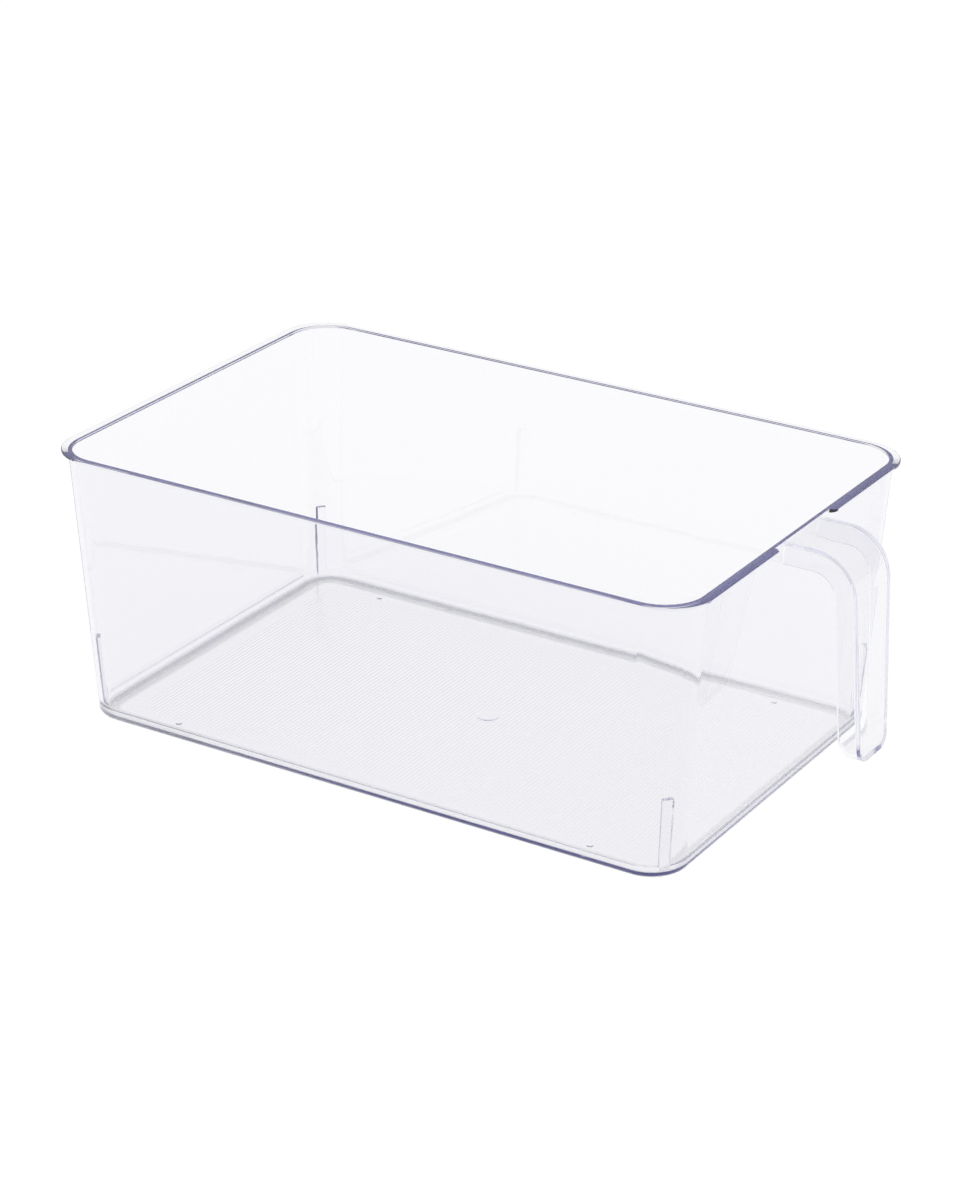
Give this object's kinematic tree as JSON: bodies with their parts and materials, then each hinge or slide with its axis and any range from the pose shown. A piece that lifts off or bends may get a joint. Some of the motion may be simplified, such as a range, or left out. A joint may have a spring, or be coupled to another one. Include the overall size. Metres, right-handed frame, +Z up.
{
  "type": "fridge storage bin",
  "caption": "Open clear plastic storage bin with tapered walls, round corners, a thin rim lip and a broad pull handle hanging from one short end.",
  "frame": {"origin": "middle of the flat underside, on the shelf that the bin stands on", "axes": "+X along the bin towards the end with the pull handle, +Y across the bin, +Z up"},
  "size_m": [0.3582, 0.21, 0.1284],
  "materials": {
    "clear_plastic": "clear, glossy, as moulded"
  },
  "bodies": {
    "root": {"tub": "clear_plastic", "pull_handle": "clear_plastic"}
  },
  "joints": []
}
